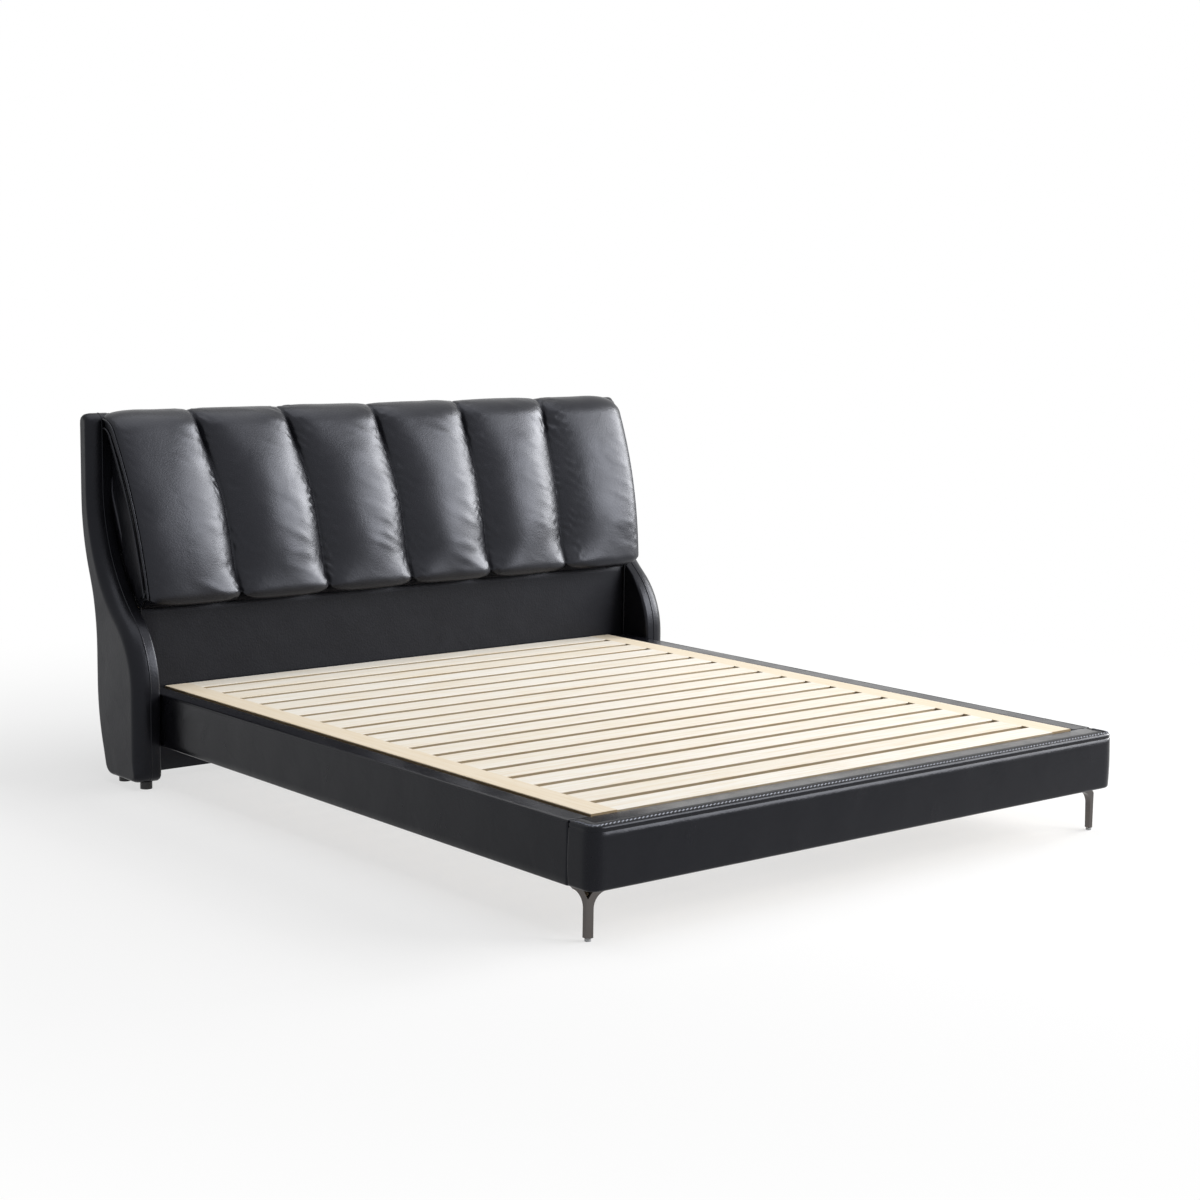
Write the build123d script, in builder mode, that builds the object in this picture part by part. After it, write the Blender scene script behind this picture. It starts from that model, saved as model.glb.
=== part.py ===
"""Low upholstered bed: winged headboard with a channelled pad, leather rails, cast legs, slatted base."""
import os
from math import acos, asin, degrees

from build123d import *

# Slatted base, a pine frame that drops in between the rails
base_width = 1750
base_length = 2030
slat_count = 19
slat_width = 82
slat_thickness = 20
slat_edge = 1.5
stile_width = 80
tongue_length = 20
tongue_thickness = 8
base_clearance = 6

# Side rails and foot rail, leather over foam on a timber core
rail_width = 69
rail_height = 157
rail_edge = 8
under_rail = 128
foot_depth = 90
foot_rise = 3
foot_corner = 32
foot_top_edge = 20
foot_bottom_edge = 8
cover_thickness = 10
foot_foam = 18
slat_proud = 3

# Headboard
panel_foam = 12
panel_board = 15
panel_bottom = 24
panel_top = 528
panel_joint = 2
wing_thickness = 68
wing_joint = 2
wing_bottom = 22
wing_drop = 20
wing_reach = 123
wing_shoulder = 300
wing_cap = 28
wing_heel = 45
wing_toe = 14
breast_radius = 287
neck_radius = 497
back_radius = 640
back_step = 82
back_shoulder = 850
heel_radius = 650
heel_start = 300
headboard_depth = 213
headboard_height = 1115
back_inset = 8
back_thickness = 6
rib_thickness = 18
rib_bottom = 60
pad_bottom = 536
pad_board = 13
board_drop = 50
pad_lean = 145
pad_overhang = 85
pad_lip = 30
lip_run = 25
roll_lap = 3
roll_radius = 60
brow_radius = 90
brow_turn = 66
channel_count = 6
seam_gap = 0.6
wing_gap = 4
pad_flare = 42
stretcher_depth = 30
stretcher_height = 60
top_stretcher_depth = 18
top_stretcher_height = 46
top_stretcher_drop = 55
wing_foot_diameter = 36

# Legs, glides and the centre support
leg_inset_side = 33
leg_inset_front = 50
leg_post = 18
leg_post_foot = 15
leg_arm = 104
leg_arm_tip = 6
leg_arm_root = 12
leg_shoulder = 40
leg_inner_radius = 38
leg_chamfer = 5
screw_edge = 17
glide_diameter = 16
glide_height = 8
glide_stem = 6
glide_stem_length = 18
beam_width = 50
beam_height = 40
beam_wall = 2
centre_leg_diameter = 32
centre_leg_flange = 60
centre_foot_diameter = 44
centre_foot_height = 10
plate = 3

# Ledgers, brackets and fasteners
ledger_width = 25
ledger_height = 30
ledger_bevel = 6
bracket_flange = 60
bracket_height = 80
bracket_plate = 4
bracket_lift = 15
bolt_setback = 36
wing_bolt_heights = (180, 430, 720)
wing_bolt_setback = 72
top_bolt_inset = 63
bolt_diameter = 8
bolt_head = 14
bolt_head_height = 5
bolt_grip = 25
screw_diameter = 5
screw_head = 10
screw_head_height = 3
screw_grip = 30
end_gap = 1
fit = 0.2

# Places worked out from the sizes above; the origin is on the floor below the middle of the bed
foot_height = rail_height + foot_rise
slat_top = under_rail + rail_height + slat_proud
ledger_top = slat_top - slat_thickness
rail_inner = base_width / 2 + base_clearance
rail_outer = rail_inner + rail_width
wing_inner = rail_outer + wing_joint
wing_outer = wing_inner + wing_thickness
opening_length = base_length + 2 * base_clearance
bed_length = foot_depth + opening_length + headboard_depth
foot_front = -bed_length / 2
foot_back = foot_front + foot_depth
panel_front = foot_back + opening_length
board_front = panel_front + panel_foam
board_back = board_front + panel_board
headboard_back = panel_front + headboard_depth
rail_length = opening_length - fit
bolt_height = under_rail + bracket_lift + bracket_height / 2
post_side = rail_outer - leg_inset_side
post_front = foot_front + leg_inset_front
post_bottom = glide_height
beam_top = ledger_top
beam_bottom = beam_top - beam_height
screw_reach = leg_arm - leg_post / 2 - screw_edge
carcass_width = 2 * rail_outer
wing_top = headboard_height - wing_drop
pad_back_top = wing_top - board_drop
pad_width_bottom = 2 * (wing_inner - wing_gap)
pad_width_top = pad_width_bottom + 2 * pad_flare
pad_board_bottom = panel_top + panel_joint
pad_roll = pad_back_top + roll_lap

os.makedirs("parts", exist_ok=True)


def save(builder, name):
    """Label a finished piece and write it to its own file."""
    builder.part.label = name
    export_step(builder.part, f"parts/{name}.step")


def s_turn(shift, radii):
    """Angle through which two opposite arcs turn to step sideways by a shift."""
    return degrees(acos(1 - shift / sum(radii)))


def rear_curve(inset=0, bottom=wing_bottom):
    """The headboard's S-shaped back line from the wing's cap down to a height, moved forward by an inset."""
    turn = s_turn(back_step, (back_radius, back_radius))
    upper = Line((headboard_back - inset, wing_top - wing_cap), (headboard_back - inset, back_shoulder))
    first = JernArc(upper @ 1, (0, -1), back_radius - inset, -turn)
    second = JernArc(first @ 1, first % 1, back_radius + inset, turn)
    lower = Line(second @ 1, ((second @ 1).X, heel_start))
    heel_turn = degrees(asin((heel_start - bottom) / (heel_radius - inset)))
    heel = JernArc(lower @ 1, (0, -1), heel_radius - inset, -heel_turn)
    return upper @ 0, heel @ 1


def wing_outline(inset=0):
    """Side view of a wing: straight front, S-curved neck, round cap, S-curved back, moved in by an inset."""
    front = panel_front - wing_reach + inset
    bottom = wing_bottom + inset
    turn = s_turn(wing_reach + headboard_depth - 2 * wing_cap, (breast_radius, neck_radius))
    with BuildLine() as outline:
        back_top, back_bottom = rear_curve(inset, bottom)
        Line(back_bottom, (front, bottom))
        edge = Line((front, bottom), (front, wing_shoulder))
        breast = JernArc(edge @ 1, (0, 1), breast_radius - inset, -turn)
        throat = JernArc(breast @ 1, breast % 1, neck_radius + inset, turn)
        neck = Line(throat @ 1, ((throat @ 1).X, wing_top - wing_cap))
        ThreePointArc(neck @ 1, (headboard_back - wing_cap, wing_top - inset), back_top)
    make_face(outline.edges())
    fillet(vertices().group_by(Axis.Y)[0].sort_by(Axis.X)[-1], wing_heel - inset)
    fillet(vertices().group_by(Axis.Y)[0].sort_by(Axis.X)[0], wing_toe - inset)


def bar(width, length):
    """A six-sided bar along +Z; hidden fasteners and their holes are drawn so to keep their faces few."""
    with BuildPart(mode=Mode.PRIVATE) as prism:
        with BuildSketch():
            RegularPolygon(width / 2, 6, major_radius=False)
        extrude(amount=length)
    return prism.part


def bolt(length, width, head, head_height):
    """A hexagon-head fastener along +Z: the head's underside is at the origin, the shank goes up."""
    with BuildPart(mode=Mode.PRIVATE) as fastener:
        add(bar(width, length))
        with Locations((0, 0, -head_height)):
            add(bar(head, head_height))
    return fastener.part


def drill(planes, width, depth):
    """Cut one fastener hole from each plane's origin along its normal."""
    with Locations(*planes):
        add(bar(width, depth), mode=Mode.SUBTRACT)


def side_planes(side, height, setbacks):
    """Planes on a rail's inner face, looking outwards, one at each distance along the bed."""
    return [Plane((side * rail_inner, y, height), x_dir=(0, 1, 0), z_dir=(side, 0, 0)) for y in setbacks]


bolt_hole = bolt_diameter + 2 * fit
screw_hole = screw_diameter + 2 * fit
rail_bolt_places = (foot_back + bolt_setback, panel_front - bolt_setback)
bolt_x = rail_inner - bolt_setback
foot_bolt_planes = [Plane((s * bolt_x, foot_back, bolt_height), z_dir=(0, -1, 0)) for s in (-1, 1)]
head_bolt_planes = [Plane((s * bolt_x, panel_front, bolt_height), z_dir=(0, 1, 0)) for s in (-1, 1)]
foot_screw_x = post_side - screw_reach
rail_screw_y = post_front + screw_reach
foot_screw_planes = [Plane((s * foot_screw_x, post_front, under_rail)) for s in (-1, 1)]
rail_screw_planes = [Plane((s * post_side, rail_screw_y, under_rail)) for s in (-1, 1)]
wing_bolt_places = [(panel_front + wing_bolt_setback, z) for z in wing_bolt_heights[:-1]]
wing_bolt_places += [(headboard_back - top_bolt_inset, wing_bolt_heights[-1])]

# Slatted base
groove_height = slat_top - slat_thickness / 2
slat_span = base_width - 2 * stile_width
slat_pitch = (base_length - slat_width) / (slat_count - 1)
base_front = foot_back + base_clearance

for side, hand in ((-1, "left"), (1, "right")):
    stile_middle = side * (base_width - stile_width) / 2
    with BuildPart() as stile:
        with Locations((stile_middle, base_front + base_length / 2, groove_height)):
            Box(stile_width, base_length, slat_thickness)
        top_edges = stile.faces().sort_by(Axis.Z)[-1].edges().filter_by(Axis.Y)
        chamfer(top_edges.sort_by(Axis.X)[-1 if side > 0 else 0], slat_edge)
        groove_middle = side * (slat_span / 2 + (tongue_length + fit) / 2)
        with Locations((groove_middle, base_front + base_length / 2, groove_height)):
            Box(tongue_length + fit, base_length, tongue_thickness + 2 * fit, mode=Mode.SUBTRACT)
    save(stile, f"slat_stile_{hand}")

for number in range(slat_count):
    slat_middle = base_front + slat_width / 2 + number * slat_pitch
    with BuildPart() as slat:
        with Locations((0, slat_middle, groove_height)):
            Box(slat_span, slat_width, slat_thickness)
            chamfer(slat.faces().sort_by(Axis.Z)[-1].edges().filter_by(Axis.X), slat_edge)
            Box(slat_span + 2 * tongue_length, slat_width, tongue_thickness)
    save(slat, f"slat_{number + 1:02d}")

# Side rails: leather folds over the outer face and the top of a timber core, with a ledger inside
rail_middle = (foot_back + panel_front) / 2
core_height = rail_height - cover_thickness
core_width = rail_width - cover_thickness
for side, hand in ((-1, "left"), (1, "right")):
    outwards = Align.MIN if side > 0 else Align.MAX
    with BuildPart() as rail_cover:
        with BuildSketch(Plane.XZ.offset(-(rail_middle + rail_length / 2))):
            with Locations((side * rail_inner, under_rail)):
                Rectangle(rail_width, rail_height, align=(outwards, Align.MIN))
            fillet(vertices().group_by(Axis.Y)[-1], rail_edge)
            with Locations((side * rail_inner, under_rail)):
                Rectangle(core_width, core_height, align=(outwards, Align.MIN), mode=Mode.SUBTRACT)
        extrude(amount=rail_length)
    save(rail_cover, f"rail_cover_{hand}")

    with BuildPart() as rail_core:
        with Locations((side * rail_inner, rail_middle, under_rail)):
            Box(core_width - fit, rail_length, core_height - fit, align=(outwards, Align.CENTER, Align.MIN))
        drill(side_planes(side, bolt_height, rail_bolt_places), bolt_hole, bolt_grip)
        drill([p for p in rail_screw_planes if p.origin.X * side > 0], screw_hole, screw_grip)
    save(rail_core, f"rail_core_{hand}")

    with BuildPart() as ledger:
        with Locations((side * rail_inner, rail_middle, ledger_top)):
            Box(
                ledger_width,
                opening_length - 2 * base_clearance,
                ledger_height,
                align=(Align.MAX if side > 0 else Align.MIN, Align.CENTER, Align.MAX),
            )
        ledger_foot_edges = ledger.faces().sort_by(Axis.Z)[0].edges().filter_by(Axis.Y)
        chamfer(ledger_foot_edges.sort_by(Axis.X)[0 if side > 0 else -1], ledger_bevel)
    save(ledger, f"ledger_{hand}")

# Foot rail: rounded ends and soft top edge, open behind and underneath where the cover is stapled
foot_core_depth = foot_depth - foot_foam
foot_core_width = 2 * (rail_outer - foot_corner)
foot_core_height = foot_height - cover_thickness
with BuildPart() as foot_rail_cover:
    with BuildSketch(Plane.XY.offset(under_rail)):
        with Locations((0, foot_front)):
            Rectangle(2 * rail_outer, foot_depth, align=(Align.CENTER, Align.MIN))
        fillet(vertices().group_by(Axis.Y)[0], foot_corner)
    extrude(amount=foot_height)
    outer_back = foot_rail_cover.faces().sort_by(Axis.Y)[-1]
    rim = foot_rail_cover.edges() - outer_back.edges()
    fillet(rim.group_by(Axis.Z)[-1], foot_top_edge)
    rim = foot_rail_cover.edges() - foot_rail_cover.faces().sort_by(Axis.Y)[-1].edges()
    fillet(rim.group_by(Axis.Z)[0], foot_bottom_edge)
    with Locations((0, foot_back, under_rail)):
        Box(
            foot_core_width,
            foot_core_depth,
            foot_core_height,
            align=(Align.CENTER, Align.MAX, Align.MIN),
            mode=Mode.SUBTRACT,
        )
save(foot_rail_cover, "foot_rail_cover")

with BuildPart() as foot_rail_core:
    with Locations((0, foot_back, under_rail)):
        Box(
            foot_core_width - 2 * fit,
            foot_core_depth - fit,
            foot_core_height - fit,
            align=(Align.CENTER, Align.MAX, Align.MIN),
        )
    drill(foot_bolt_planes, bolt_hole, bolt_grip)
    drill(foot_screw_planes, screw_hole, screw_grip)
save(foot_rail_core, "foot_rail_core")

# Corner brackets tie the rails to the foot rail and to the headboard
rail_bolt_planes = [p for side in (-1, 1) for p in side_planes(side, bolt_height, rail_bolt_places)]
bracket_bolt_planes = rail_bolt_planes + foot_bolt_planes + head_bolt_planes
with BuildPart() as corner_brackets:
    for side in (-1, 1):
        for end, toward in ((foot_back, 1), (panel_front, -1)):
            inwards = Align.MAX if side > 0 else Align.MIN
            along = Align.MIN if toward > 0 else Align.MAX
            with Locations((side * rail_inner, end, under_rail + bracket_lift)):
                Box(bracket_plate, bracket_flange, bracket_height, align=(inwards, along, Align.MIN))
                Box(bracket_flange, bracket_plate, bracket_height, align=(inwards, along, Align.MIN))
    drill([p.offset(-bracket_plate) for p in bracket_bolt_planes], bolt_hole, bracket_plate)
save(corner_brackets, "corner_brackets")

with BuildPart() as bracket_bolts:
    rail_bolt = bolt(bracket_plate + bolt_grip - end_gap, bolt_diameter, bolt_head, bolt_head_height)
    with Locations(*[p.offset(-bracket_plate) for p in rail_bolt_planes + foot_bolt_planes]):
        add(rail_bolt)
    head_grip = bracket_plate + panel_foam + panel_board + bolt_grip - end_gap
    head_bolt = bolt(head_grip, bolt_diameter, bolt_head, bolt_head_height)
    with Locations(*[p.offset(-bracket_plate) for p in head_bolt_planes]):
        add(head_bolt)
save(bracket_bolts, "bracket_bolts")


# Cast legs: one strap bends along the foot rail and one along the side rail, joined in a corner post
def leg_arm_profile():
    """Side view of one arm: post, rounded outer shoulder, flat top and a thin flat tip; x runs inwards."""
    top = under_rail
    tip_top = top - leg_arm_tip
    tip_start = leg_arm - 2 * screw_edge
    bend = (leg_post + leg_inner_radius, top - leg_arm_root)
    bend_end = (leg_post, top - leg_arm_root - leg_inner_radius)
    with BuildLine() as outline:
        Polyline((leg_post_foot, post_bottom), (0, post_bottom), (0, top - leg_shoulder))
        RadiusArc((0, top - leg_shoulder), (leg_shoulder, top), leg_shoulder)
        Polyline((leg_shoulder, top), (leg_arm, top), (leg_arm, tip_top), (tip_start, tip_top), bend)
        RadiusArc(bend, bend_end, -leg_inner_radius)
        Line(bend_end, (leg_post_foot, post_bottom))
    make_face(outline.edges())


for side, hand in ((-1, "left"), (1, "right")):
    corner = Vector(side * (post_side + leg_post / 2), post_front - leg_post / 2, 0)
    along_foot = Plane(corner, x_dir=(-side, 0, 0), z_dir=(0, side, 0))
    along_rail = Plane(corner, x_dir=(0, 1, 0), z_dir=(1, 0, 0))
    with BuildPart() as leg:
        with BuildSketch(along_foot):
            leg_arm_profile()
        extrude(amount=leg_post * side)
        with BuildSketch(along_rail):
            leg_arm_profile()
        extrude(amount=-leg_post * side)
        with BuildSketch(Plane.XY.offset(post_bottom)):
            with Locations((corner.X, corner.Y)):
                Rectangle(leg_chamfer * 2**0.5, leg_chamfer * 2**0.5, rotation=45)
        extrude(amount=under_rail, mode=Mode.SUBTRACT)
        with Locations((side * post_side, post_front, post_bottom)):
            Cylinder(
                (glide_stem + fit) / 2,
                glide_stem_length + end_gap,
                align=(Align.CENTER, Align.CENTER, Align.MIN),
                mode=Mode.SUBTRACT,
            )
        arm_holes = [p for p in foot_screw_planes + rail_screw_planes if p.origin.X * side > 0]
        drill([p.offset(-leg_arm_tip) for p in arm_holes], screw_hole, leg_arm_tip)
    save(leg, f"leg_{hand}")

with BuildPart() as leg_glides:
    with Locations((-post_side, post_front, 0), (post_side, post_front, 0)):
        Cylinder(glide_diameter / 2, glide_height, align=(Align.CENTER, Align.CENTER, Align.MIN))
        Cylinder(
            glide_stem / 2,
            glide_height + glide_stem_length,
            align=(Align.CENTER, Align.CENTER, Align.MIN),
        )
save(leg_glides, "leg_glides")

with BuildPart() as leg_screws:
    leg_screw = bolt(leg_arm_tip + screw_grip - end_gap, screw_diameter, screw_head, screw_head_height)
    with Locations(*[p.offset(-leg_arm_tip) for p in foot_screw_planes + rail_screw_planes]):
        add(leg_screw)
save(leg_screws, "leg_screws")

# Centre support: steel tube on two legs, hung from the foot rail and from the headboard
beam_length = opening_length - 2 * plate - 2 * fit
with BuildPart() as centre_beam:
    with BuildSketch(Plane.XZ.offset(-(rail_middle + beam_length / 2))):
        with Locations((0, beam_top)):
            Rectangle(beam_width, beam_height, align=(Align.CENTER, Align.MAX))
        fillet(vertices(), 2 * beam_wall)
        offset(amount=-beam_wall, mode=Mode.SUBTRACT)
    extrude(amount=beam_length)
save(centre_beam, "centre_beam")

hanger_inner = beam_width + 2 * fit
hanger_width = hanger_inner + 2 * plate
hanger_reach = beam_width
hanger_plate_width = hanger_width + 2 * beam_height
with BuildPart() as beam_hangers:
    for end, toward in ((foot_back, 1), (panel_front, -1)):
        along = Align.MIN if toward > 0 else Align.MAX
        with Locations((0, end, beam_bottom - plate - fit)):
            Box(hanger_width, hanger_reach, beam_height, align=(Align.CENTER, along, Align.MIN))
        with Locations((0, end + toward * plate, beam_bottom - fit)):
            Box(
                hanger_inner,
                hanger_reach,
                beam_height,
                align=(Align.CENTER, along, Align.MIN),
                mode=Mode.SUBTRACT,
            )
        with Locations((0, end, beam_bottom - plate - fit)):
            Box(hanger_plate_width, plate, beam_height, align=(Align.CENTER, along, Align.MIN))
save(beam_hangers, "beam_hangers")

centre_leg_height = beam_bottom - plate - centre_foot_height
centre_leg_places = [(0, foot_back + opening_length * third / 3, 0) for third in (1, 2)]
with BuildPart() as centre_legs:
    upwards = (Align.CENTER, Align.CENTER, Align.MIN)
    with Locations(*centre_leg_places):
        Cylinder(centre_foot_diameter / 2, centre_foot_height, align=upwards)
        with Locations((0, 0, centre_foot_height)):
            Cylinder(centre_leg_diameter / 2, centre_leg_height, align=upwards)
        with Locations((0, 0, beam_bottom - plate)):
            Box(centre_leg_flange, centre_leg_flange, plate, align=upwards)
save(centre_legs, "centre_legs")

# Wings: timber core inside a leather cover, standing on plastic feet, bolted to the end ribs
core_thickness = wing_thickness - 2 * cover_thickness
for side, hand in ((-1, "left"), (1, "right")):
    wing_planes = [
        Plane((side * wing_inner, y, z), x_dir=(0, 1, 0), z_dir=(side, 0, 0)) for y, z in wing_bolt_places
    ]
    with BuildPart() as wing_cover:
        with BuildSketch(Plane.YZ.offset(min(side * wing_inner, side * wing_outer))):
            wing_outline()
        extrude(amount=wing_thickness)
        with BuildSketch(Plane.YZ.offset(min(side * wing_inner, side * wing_outer) + cover_thickness)):
            wing_outline(cover_thickness)
        extrude(amount=core_thickness, mode=Mode.SUBTRACT)
        drill(wing_planes, bolt_hole, cover_thickness)
    save(wing_cover, f"wing_cover_{hand}")

    with BuildPart() as wing_core:
        core_side = min(side * wing_inner, side * wing_outer) + cover_thickness
        with BuildSketch(Plane.YZ.offset(core_side + fit)):
            wing_outline(cover_thickness + fit)
        extrude(amount=core_thickness - 2 * fit)
        drill(wing_planes, bolt_hole, cover_thickness + bolt_grip)
    save(wing_core, f"wing_core_{hand}")

wing_foot_x = (wing_inner + wing_outer) / 2
front_foot = panel_front - wing_reach + wing_foot_diameter
rear_foot = panel_front + wing_heel
with BuildPart() as wing_feet:
    with Locations(*[(side * wing_foot_x, y, 0) for side in (-1, 1) for y in (front_foot, rear_foot)]):
        Cylinder(wing_foot_diameter / 2, wing_bottom, align=(Align.CENTER, Align.CENTER, Align.MIN))
save(wing_feet, "wing_feet")

with BuildPart() as wing_bolts:
    wing_grip = rib_thickness + wing_joint + cover_thickness + bolt_grip - end_gap
    wing_bolt = bolt(wing_grip, bolt_diameter, bolt_head, bolt_head_height)
    for side in (-1, 1):
        head_x = side * (carcass_width / 2 - rib_thickness)
        for y, z in wing_bolt_places:
            with Locations(Plane((head_x, y, z), x_dir=(0, 1, 0), z_dir=(side, 0, 0))):
                add(wing_bolt)
save(wing_bolts, "wing_bolts")

# Headboard carcass between the wings: shaped ribs tied by three stretchers, boarded front and back

def pad_back(height, forward=0):
    """Distance along the bed of the leaning plane behind the pad's board, or of a parallel in front of it."""
    return board_back + pad_lean * (height - pad_board_bottom) / (pad_back_top - pad_board_bottom) - forward


top_stretcher_y = pad_back(pad_back_top) + top_stretcher_depth / 2
top_stretcher_z = pad_back_top - top_stretcher_drop
stretcher_places = (
    (board_back + stretcher_depth / 2, bolt_height, stretcher_depth, stretcher_height),
    (board_back + stretcher_depth / 2, panel_top - stretcher_height, stretcher_depth, stretcher_height),
    (top_stretcher_y, top_stretcher_z, top_stretcher_depth, top_stretcher_height),
)
rib_places = [side * (carcass_width - rib_thickness) / 2 for side in (-1, 1)]
rib_places += [side * carcass_width / 6 for side in (-1, 1)]

with BuildPart() as headboard_ribs:
    for rib_x in rib_places:
        with BuildSketch(Plane.YZ.offset(rib_x - rib_thickness / 2)):
            with BuildLine():
                back_top, back_bottom = rear_curve(back_inset + back_thickness + fit)
                Polyline(
                    back_bottom,
                    (board_back, wing_bottom),
                    (board_back, pad_board_bottom),
                    (pad_back(pad_back_top), pad_back_top),
                    (pad_back(pad_back_top), wing_top - wing_cap),
                    back_top,
                )
            make_face()
            with Locations((headboard_back, rib_bottom)):
                Rectangle(
                    2 * headboard_depth,
                    pad_back_top - rib_bottom,
                    align=(Align.CENTER, Align.MIN),
                    mode=Mode.INTERSECT,
                )
            for y, z, depth, height in stretcher_places:
                with Locations((y, z)):
                    Rectangle(depth + 2 * fit, height + 2 * fit, mode=Mode.SUBTRACT)
        extrude(amount=rib_thickness)
    for side in (-1, 1):
        rib_face = side * (carcass_width / 2 - rib_thickness)
        rib_planes = [
            Plane((rib_face, y, z), x_dir=(0, 1, 0), z_dir=(side, 0, 0)) for y, z in wing_bolt_places
        ]
        drill(rib_planes, bolt_hole, rib_thickness)
save(headboard_ribs, "headboard_ribs")

with BuildPart() as headboard_stretchers:
    for y, z, depth, height in stretcher_places:
        with Locations((0, y, z)):
            Box(carcass_width, depth, height)
    drill(head_bolt_planes, bolt_hole, panel_foam + panel_board + bolt_grip)
save(headboard_stretchers, "headboard_stretchers")

with BuildPart() as headboard_back_panel:
    with BuildSketch(Plane.YZ.offset(-carcass_width / 2)):
        with BuildLine():
            outer_top, outer_bottom = rear_curve(back_inset)
            inner_top, inner_bottom = rear_curve(back_inset + back_thickness)
            Line(outer_top, inner_top)
            Line(outer_bottom, inner_bottom)
        make_face()
        with Locations((headboard_back, panel_bottom)):
            Rectangle(
                2 * headboard_depth,
                pad_back_top - panel_bottom,
                align=(Align.CENTER, Align.MIN),
                mode=Mode.INTERSECT,
            )
    extrude(amount=carcass_width)
save(headboard_back_panel, "headboard_back_panel")

panel_height = panel_top - panel_bottom
with BuildPart() as lower_panel_cover:
    with Locations((0, panel_front, panel_bottom)):
        Box(carcass_width, panel_foam - fit, panel_height, align=(Align.CENTER, Align.MIN, Align.MIN))
    fillet(lower_panel_cover.faces().sort_by(Axis.Y)[0].edges().filter_by(Axis.X), panel_foam / 2)
    drill(head_bolt_planes, bolt_hole, panel_foam)
save(lower_panel_cover, "lower_panel_cover")

with BuildPart() as lower_panel_board:
    with Locations((0, board_front, panel_bottom)):
        Box(carcass_width, panel_board - fit, panel_height, align=(Align.CENTER, Align.MIN, Align.MIN))
    drill(head_bolt_planes, bolt_hole, panel_foam + panel_board)
save(lower_panel_board, "lower_panel_board")

with BuildPart() as pad_backing:
    with BuildSketch(Plane.YZ.offset(-carcass_width / 2)):
        with BuildLine():
            Polyline(
                (pad_back(pad_board_bottom, fit), pad_board_bottom),
                (pad_back(pad_back_top, fit), pad_back_top),
                (pad_back(pad_back_top, pad_board), pad_back_top),
                (pad_back(pad_board_bottom, pad_board), pad_board_bottom),
                close=True,
            )
        make_face()
    extrude(amount=carcass_width)
save(pad_backing, "pad_board")

# Pad: six channels fanning out towards the top, rolled over the headboard's top edge

def pad_profile():
    """Side view of the pad: straight back on its board, overhanging belly and a roll over the top."""
    roll_back = headboard_back - wing_gap
    with BuildLine() as outline:
        rise = Line((roll_back, pad_roll), (roll_back, headboard_height - roll_radius))
        roll = JernArc(rise @ 1, (0, 1), roll_radius, 90)
        brow = JernArc(roll @ 1, (-1, 0), brow_radius, brow_turn)
        belly = TangentArc(brow @ 1, (panel_front - pad_overhang, pad_bottom + pad_lip), tangent=brow % 1)
        lip_end = (panel_front - pad_overhang + lip_run, pad_bottom)
        lip = TangentArc(belly @ 1, lip_end, tangent=belly % 1)
        Polyline(
            lip @ 1,
            (pad_back(pad_bottom, pad_board + fit), pad_bottom),
            (pad_back(pad_roll, pad_board + fit), pad_roll),
            rise @ 0,
        )
    make_face(outline.edges())


def seam_x(number, width):
    """Where a seam lies at a height at which the pad has this width."""
    return width * (number / channel_count - 0.5)


for number in range(channel_count):
    left_bottom = seam_x(number, pad_width_bottom) + seam_gap / 2
    right_bottom = seam_x(number + 1, pad_width_bottom) - seam_gap / 2
    left_top = seam_x(number, pad_width_top) + seam_gap / 2
    right_top = seam_x(number + 1, pad_width_top) - seam_gap / 2
    with BuildPart() as channel:
        with BuildSketch(Plane.YZ.offset(-pad_width_top / 2)):
            pad_profile()
        extrude(amount=pad_width_top)
        with BuildSketch(Plane.XZ.offset(-headboard_back)):
            with BuildLine():
                Polyline(
                    (left_bottom, pad_bottom),
                    (right_bottom, pad_bottom),
                    (right_top, headboard_height + fit),
                    (left_top, headboard_height + fit),
                    close=True,
                )
            make_face()
        extrude(amount=bed_length, mode=Mode.INTERSECT)
        for side in (-1, 1):
            with BuildSketch(Plane.YZ.offset(side * (wing_inner - wing_gap))):
                wing_outline(-wing_gap)
            extrude(amount=side * wing_thickness, mode=Mode.SUBTRACT)
    save(channel, f"pad_channel_{number + 1}")
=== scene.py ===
"""Upholstered bed: leather pad, wings and rails, pine slats and cast legs, dressed over its frame."""
from math import acos, asin, atan2, copysign, cos, pi, radians, sin, sqrt

import bmesh
import bpy
from mathutils import Matrix, Vector, noise


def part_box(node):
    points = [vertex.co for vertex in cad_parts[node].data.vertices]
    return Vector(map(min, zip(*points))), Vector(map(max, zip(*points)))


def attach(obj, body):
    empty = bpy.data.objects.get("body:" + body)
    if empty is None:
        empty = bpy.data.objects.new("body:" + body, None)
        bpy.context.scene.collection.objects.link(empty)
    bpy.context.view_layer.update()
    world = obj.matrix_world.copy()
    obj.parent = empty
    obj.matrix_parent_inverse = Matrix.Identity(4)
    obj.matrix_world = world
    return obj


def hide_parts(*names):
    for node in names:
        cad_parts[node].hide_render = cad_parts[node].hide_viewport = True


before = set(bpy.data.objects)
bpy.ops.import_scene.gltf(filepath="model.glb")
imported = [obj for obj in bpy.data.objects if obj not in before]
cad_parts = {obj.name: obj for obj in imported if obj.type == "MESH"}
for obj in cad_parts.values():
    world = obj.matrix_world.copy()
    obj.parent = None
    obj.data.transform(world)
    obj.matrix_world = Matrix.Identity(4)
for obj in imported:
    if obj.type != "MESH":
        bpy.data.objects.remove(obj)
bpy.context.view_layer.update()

bl_info = {
    "name": "Winged leather bed",
    "version": (1, 0, 0),
    "blender": (4, 5, 0),
    "location": "View3D > Sidebar > Bed",
    "description": "Dresses the bed's frame in leather, pine and cast metal",
    "category": "Object",
}

BODY = "bed_frame"
SIDES = ((-1, "left"), (1, "right"))
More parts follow.
